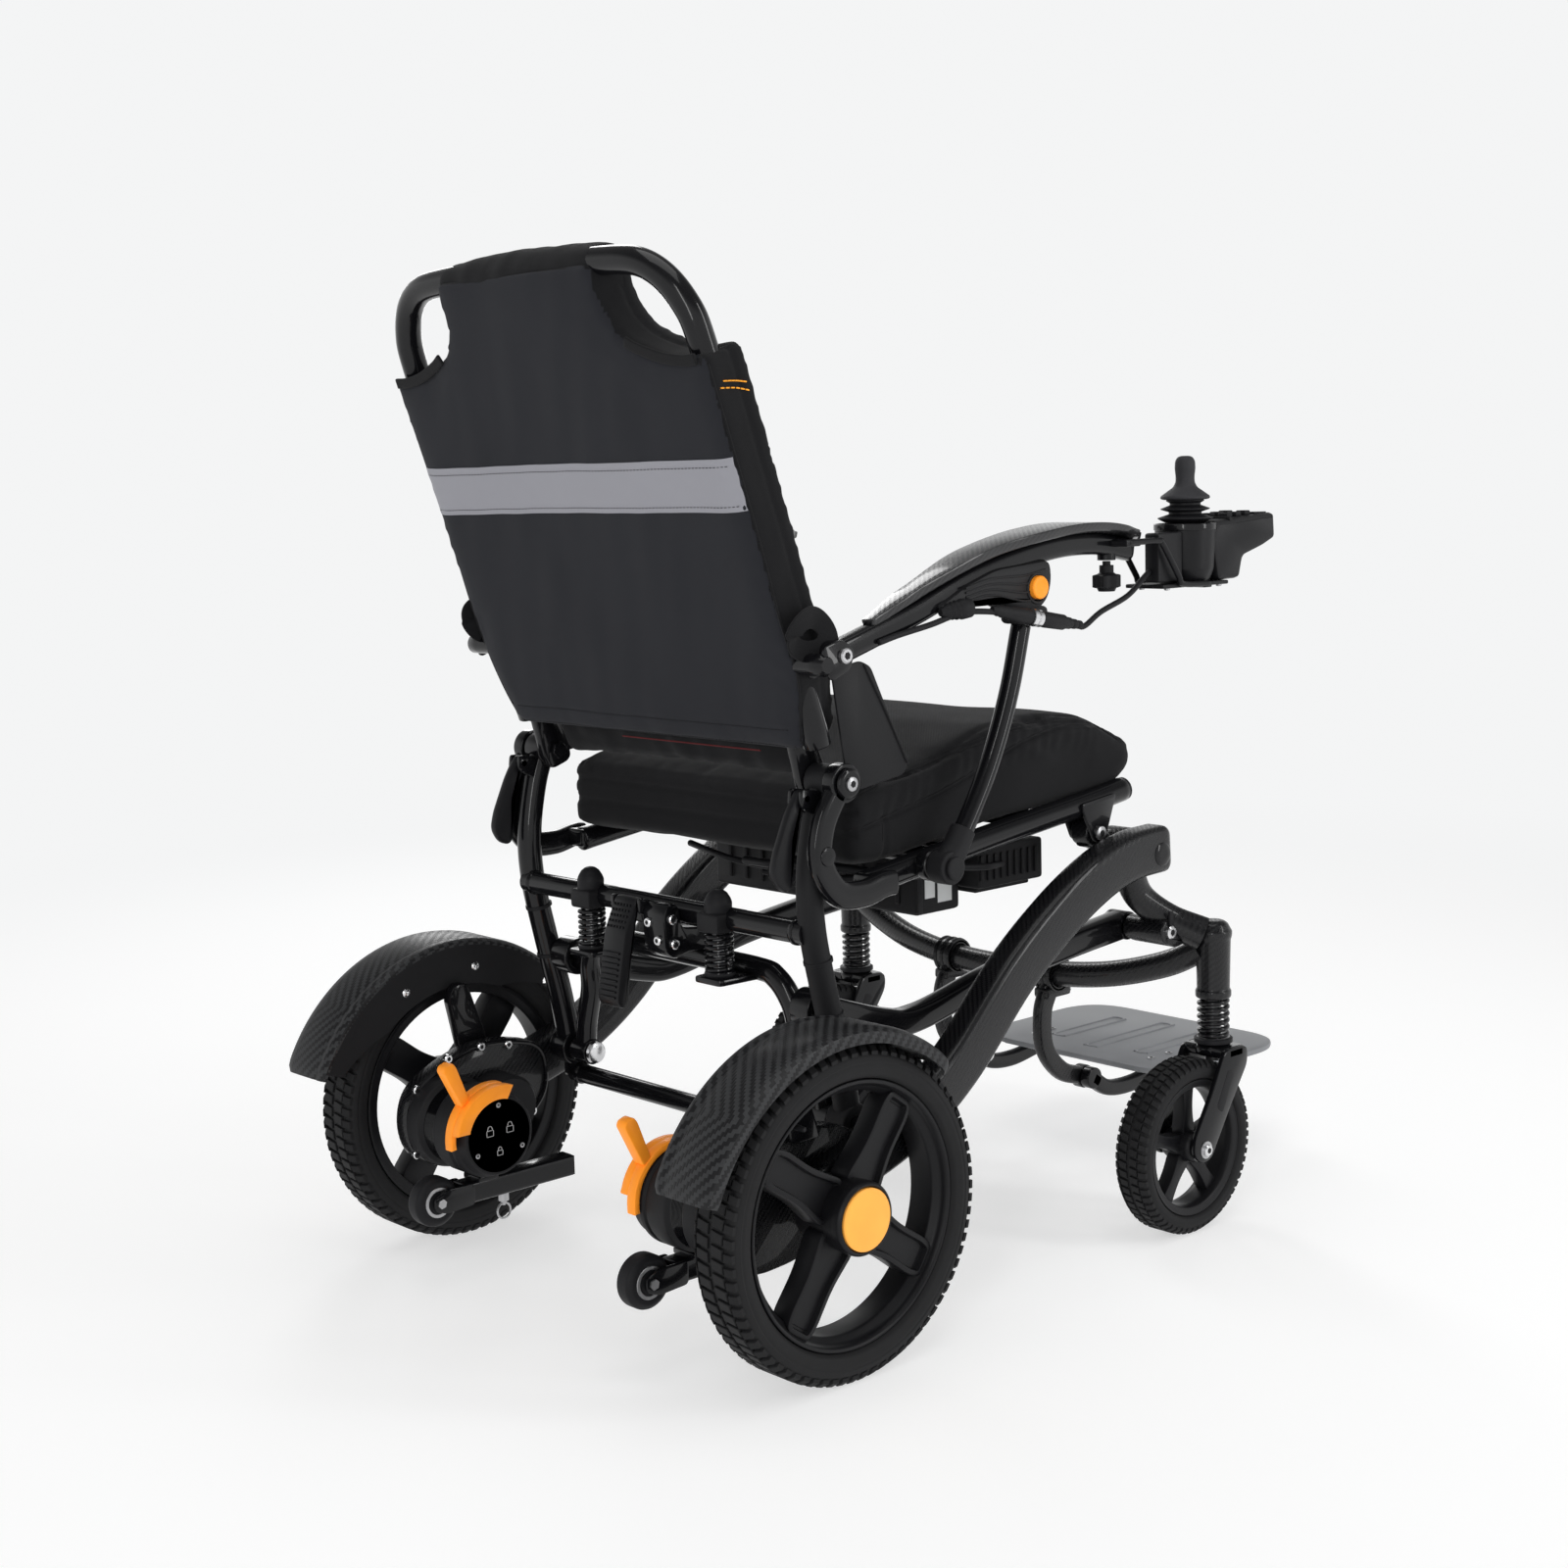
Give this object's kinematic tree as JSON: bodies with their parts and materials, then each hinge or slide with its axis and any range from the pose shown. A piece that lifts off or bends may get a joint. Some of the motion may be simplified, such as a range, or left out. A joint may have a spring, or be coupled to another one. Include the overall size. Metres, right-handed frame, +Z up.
{
  "type": "power wheelchair",
  "caption": "Folding four-wheel power wheelchair with sprung casters, fold latch, flip footplate, folding backrest, armrests and joystick controller.",
  "frame": {"origin": "on the floor under the middle of the chair's box", "axes": "+Z up, +X to the sitter's left, -Y the way the chair faces"},
  "size_m": [0.662, 1.0506, 0.9974],
  "materials": {
    "tyre": "matt black rubber",
    "small_wheel": "matt black rubber",
    "fabric": "charcoal woven polyester",
    "rubber": "soft black rubber",
    "orange": "orange plastic",
    "footplate": "light grey plate with three grooves",
    "steel": "bare steel",
    "carbon": "carbon fibre twill under clear coat",
    "plastic": "satin black plastic",
    "gloss": "gloss black"
  },
  "bodies": {
    "chassis": {"side_beam_left": "carbon", "motor_left": "plastic", "fender_left": "carbon", "anti_tip_arm_left": "gloss", "side_beam_right": "carbon", "motor_right": "plastic", "fender_right": "carbon", "anti_tip_arm_right": "gloss"},
    "front": {"front_frame": "carbon", "caster_spring_left": "gloss", "footrest_hanger_left": "carbon", "caster_spring_right": "gloss", "footrest_hanger_right": "carbon"},
    "footrest": {"footplate": "footplate"},
    "hoop": {"latch_hoop": "gloss", "latch_block": "gloss", "latch_spring_left": "gloss", "latch_spring_right": "gloss"},
    "pedal": {"fold_pedal": "plastic"},
    "uprights": {"rear_frame": "gloss"},
    "seat": {"seat_frame": "gloss", "seat_cushion": "fabric", "battery": "plastic", "control_unit": "plastic"},
    "backrest": {"backrest_frame": "gloss", "backrest_cover": "fabric"},
    "rear_wheel_left": {"rear_rim_left": "plastic", "rear_tyre_left": "tyre"},
    "clutch_left": {"clutch_lever_left": "orange"},
    "anti_tip_roller_left": {"anti_tip_wheel_left": "small_wheel"},
    "stem_left": {"caster_stem_left": "steel"},
    "fork_left": {"caster_fork_left": "gloss"},
    "caster_wheel_left": {"caster_rim_left": "plastic", "caster_tyre_left": "tyre"},
    "link_left": {"lower_link_left": "gloss"},
    "paddle_left": {"release_paddle_left": "plastic"},
    "arm_left": {"armrest_left": "carbon", "arm_pad_left": "carbon"},
    "strut_left": {"arm_strut_left": "gloss"},
    "button_left": {"lock_button_left": "orange"},
    "rear_wheel_right": {"rear_rim_right": "plastic", "rear_tyre_right": "tyre"},
    "clutch_right": {"clutch_lever_right": "orange"},
    "anti_tip_roller_right": {"anti_tip_wheel_right": "small_wheel"},
    "stem_right": {"caster_stem_right": "steel"},
    "fork_right": {"caster_fork_right": "gloss"},
    "caster_wheel_right": {"caster_rim_right": "plastic", "caster_tyre_right": "tyre"},
    "link_right": {"lower_link_right": "gloss"},
    "paddle_right": {"release_paddle_right": "plastic"},
    "arm_right": {"armrest_right": "carbon", "arm_pad_right": "carbon", "controller": "plastic", "joystick_boot": "rubber", "controller_lead": "rubber"},
    "strut_right": {"arm_strut_right": "gloss"},
    "button_right": {"lock_button_right": "orange"},
    "knob": {"clamp_knob": "plastic"},
    "gimbal": {"joystick_gimbal": "steel"},
    "stick": {"joystick": "plastic"}
  },
  "joints": [
    {"name": "front_fold", "type": "hinge", "parent": "chassis", "child": "front", "pos_m": [0, -0.14232, 0.4], "axis": [1, 0, 0], "range_deg": [0, 40]},
    {"name": "rear_frame_swing", "type": "hinge", "parent": "chassis", "child": "uprights", "pos_m": [0, 0.25068, 0.196], "axis": [1, 0, 0], "range_deg": [0, 3.6]},
    {"name": "seat_fold", "type": "hinge", "parent": "front", "child": "seat", "pos_m": [0, -0.09232, 0.424], "axis": [1, 0, 0], "range_deg": [-44.5, 0]},
    {"name": "hoop_swing", "type": "hinge", "parent": "chassis", "child": "hoop", "pos_m": [0, 0.25068, 0.196], "axis": [1, 0, 0], "range_deg": [-37.2, 0]},
    {"name": "backrest_fold", "type": "hinge", "parent": "seat", "child": "backrest", "pos_m": [0, 0.26968, 0.515], "axis": [1, 0, 0], "range_deg": [0, 60]},
    {"name": "rear_wheel_spin_left", "type": "hinge", "parent": "chassis", "child": "rear_wheel_left", "pos_m": [0.294, 0.34268, 0.15], "axis": [1, 0, 0], "continuous": true},
    {"name": "clutch_throw_left", "type": "hinge", "parent": "chassis", "child": "clutch_left", "pos_m": [0.14, 0.40268, 0.147], "axis": [1, 0, 0], "range_deg": [0, 25]},
    {"name": "anti_tip_roll_left", "type": "hinge", "parent": "chassis", "child": "anti_tip_roller_left", "pos_m": [0.165, 0.46068, 0.086], "axis": [1, 0, 0], "continuous": true},
    {"name": "link_fold_left", "type": "hinge", "parent": "front", "child": "link_left", "pos_m": [0.183, -0.17732, 0.312], "axis": [1, 0, 0], "range_deg": [-43, 0]},
    {"name": "caster_travel_left", "type": "slide", "parent": "front", "child": "stem_left", "axis": [0, 0, 1], "range_m": [0, 0.012], "stiffness_N_per_m": 9000, "springref_m": -0.022, "deforming": ["caster_spring_left"]},
    {"name": "caster_swivel_left", "type": "hinge", "parent": "stem_left", "child": "fork_left", "pos_m": [0.267, -0.22632, 0.183], "axis": [0, 0, 1], "continuous": true},
    {"name": "caster_spin_left", "type": "hinge", "parent": "fork_left", "child": "caster_wheel_left", "pos_m": [0.267, -0.17532, 0.091], "axis": [1, 0, 0], "continuous": true},
    {"name": "paddle_squeeze_left", "type": "hinge", "parent": "uprights", "child": "paddle_left", "pos_m": [0.212, 0.30068, 0.503], "axis": [-1, 0, 0], "range_deg": [0, 6], "stiffness_Nm_per_rad": 0.3, "springref_deg": -17.19},
    {"name": "arm_lift_left", "type": "hinge", "parent": "backrest", "child": "arm_left", "pos_m": [0.25, 0.2929, 0.63179], "axis": [1, 0, 0], "range_deg": [-44.9, 0]},
    {"name": "strut_swing_left", "type": "hinge", "parent": "seat", "child": "strut_left", "pos_m": [0.25, 0.15468, 0.425], "axis": [1, 0, 0], "range_deg": [0, 33.1]},
    {"name": "button_press_left", "type": "slide", "parent": "arm_left", "child": "button_left", "axis": [-1, 0, 0], "range_m": [0, 0.003], "stiffness_N_per_m": 300, "springref_m": -0.001},
    {"name": "rear_wheel_spin_right", "type": "hinge", "parent": "chassis", "child": "rear_wheel_right", "pos_m": [-0.294, 0.34268, 0.15], "axis": [1, 0, 0], "continuous": true},
    {"name": "clutch_throw_right", "type": "hinge", "parent": "chassis", "child": "clutch_right", "pos_m": [-0.14, 0.40268, 0.147], "axis": [1, 0, 0], "range_deg": [0, 25]},
    {"name": "anti_tip_roll_right", "type": "hinge", "parent": "chassis", "child": "anti_tip_roller_right", "pos_m": [-0.165, 0.46068, 0.086], "axis": [1, 0, 0], "continuous": true},
    {"name": "link_fold_right", "type": "hinge", "parent": "front", "child": "link_right", "pos_m": [-0.183, -0.17732, 0.312], "axis": [1, 0, 0], "range_deg": [-43, 0]},
    {"name": "caster_travel_right", "type": "slide", "parent": "front", "child": "stem_right", "axis": [0, 0, 1], "range_m": [0, 0.012], "stiffness_N_per_m": 9000, "springref_m": -0.022, "deforming": ["caster_spring_right"]},
    {"name": "caster_swivel_right", "type": "hinge", "parent": "stem_right", "child": "fork_right", "pos_m": [-0.267, -0.22632, 0.183], "axis": [0, 0, 1], "continuous": true},
    {"name": "caster_spin_right", "type": "hinge", "parent": "fork_right", "child": "caster_wheel_right", "pos_m": [-0.267, -0.17532, 0.091], "axis": [1, 0, 0], "continuous": true},
    {"name": "paddle_squeeze_right", "type": "hinge", "parent": "uprights", "child": "paddle_right", "pos_m": [-0.212, 0.30068, 0.503], "axis": [-1, 0, 0], "range_deg": [0, 6], "stiffness_Nm_per_rad": 0.3, "springref_deg": -17.19},
    {"name": "arm_lift_right", "type": "hinge", "parent": "backrest", "child": "arm_right", "pos_m": [-0.25, 0.2929, 0.63179], "axis": [1, 0, 0], "range_deg": [-44.9, 0]},
    {"name": "strut_swing_right", "type": "hinge", "parent": "seat", "child": "strut_right", "pos_m": [-0.25, 0.15468, 0.425], "axis": [1, 0, 0], "range_deg": [0, 33.1]},
    {"name": "button_press_right", "type": "slide", "parent": "arm_right", "child": "button_right", "axis": [1, 0, 0], "range_m": [0, 0.003], "stiffness_N_per_m": 300, "springref_m": -0.001},
    {"name": "footplate_flip", "type": "hinge", "parent": "front", "child": "footrest", "pos_m": [0, -0.24132, 0.117], "axis": [-1, 0, 0], "range_deg": [0, 85]},
    {"name": "pedal_press", "type": "hinge", "parent": "hoop", "child": "pedal", "pos_m": [0, 0.32868, 0.386], "axis": [-1, 0, 0], "range_deg": [0, 10], "stiffness_Nm_per_rad": 1, "springref_deg": -17.19},
    {"name": "knob_turn", "type": "hinge", "parent": "arm_right", "child": "knob", "pos_m": [-0.25, -0.07932, 0.67], "axis": [0, 0, 1], "continuous": true},
    {"name": "stick_tilt", "type": "hinge", "parent": "arm_right", "child": "gimbal", "pos_m": [-0.25, -0.20332, 0.72], "axis": [1, 0, 0], "range_deg": [-14, 14], "stiffness_Nm_per_rad": 0.5},
    {"name": "stick_lean", "type": "hinge", "parent": "gimbal", "child": "stick", "pos_m": [-0.25, -0.20332, 0.72], "axis": [0, 1, 0], "range_deg": [-14, 14], "stiffness_Nm_per_rad": 0.5, "deforming": ["joystick_boot"]}
  ],
  "couplings": [
    {"joint": "rear_frame_swing", "follows": "front_fold", "ratio": 0.0873},
    {"joint": "seat_fold", "follows": "front_fold", "ratio": -1.1078},
    {"joint": "hoop_swing", "follows": "front_fold", "ratio": -0.9266},
    {"joint": "link_fold_left", "follows": "front_fold", "ratio": -1.068},
    {"joint": "arm_lift_left", "follows": "backrest_fold", "ratio": -0.7468},
    {"joint": "strut_swing_left", "follows": "backrest_fold", "ratio": 0.5511},
    {"joint": "link_fold_right", "follows": "front_fold", "ratio": -1.068},
    {"joint": "arm_lift_right", "follows": "backrest_fold", "ratio": -0.7468},
    {"joint": "strut_swing_right", "follows": "backrest_fold", "ratio": 0.5511}
  ]
}
